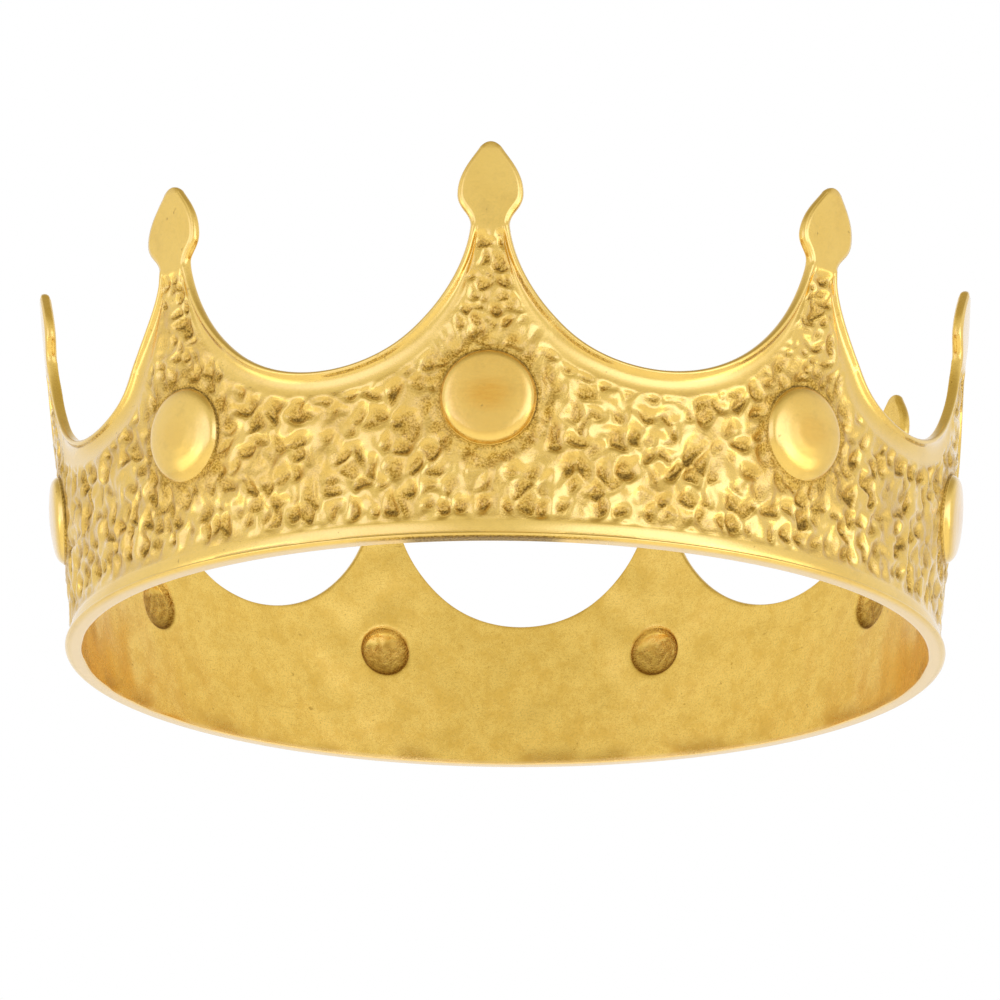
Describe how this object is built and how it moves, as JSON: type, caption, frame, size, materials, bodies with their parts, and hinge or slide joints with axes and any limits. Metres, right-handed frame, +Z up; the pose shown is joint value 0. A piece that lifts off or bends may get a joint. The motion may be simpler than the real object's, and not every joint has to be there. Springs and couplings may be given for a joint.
{
  "type": "cast metal crown",
  "caption": "Cast gold-tone metal crown: a flared ring with scalloped points and leaf tips, a hammered wall, round bosses and an open head ring, worn on the head.",
  "frame": {"origin": "middle of the ring, in the plane of the foot that it rests on", "axes": "+Z up along the axis of the ring, with one point of the crown towards -Y"},
  "size_m": [0.2056, 0.2027, 0.0795],
  "materials": {
    "gold": "polished ridges and bosses, satin inner wall, darker grainy pits"
  },
  "bodies": {
    "root": {"crown": "gold"}
  },
  "joints": []
}
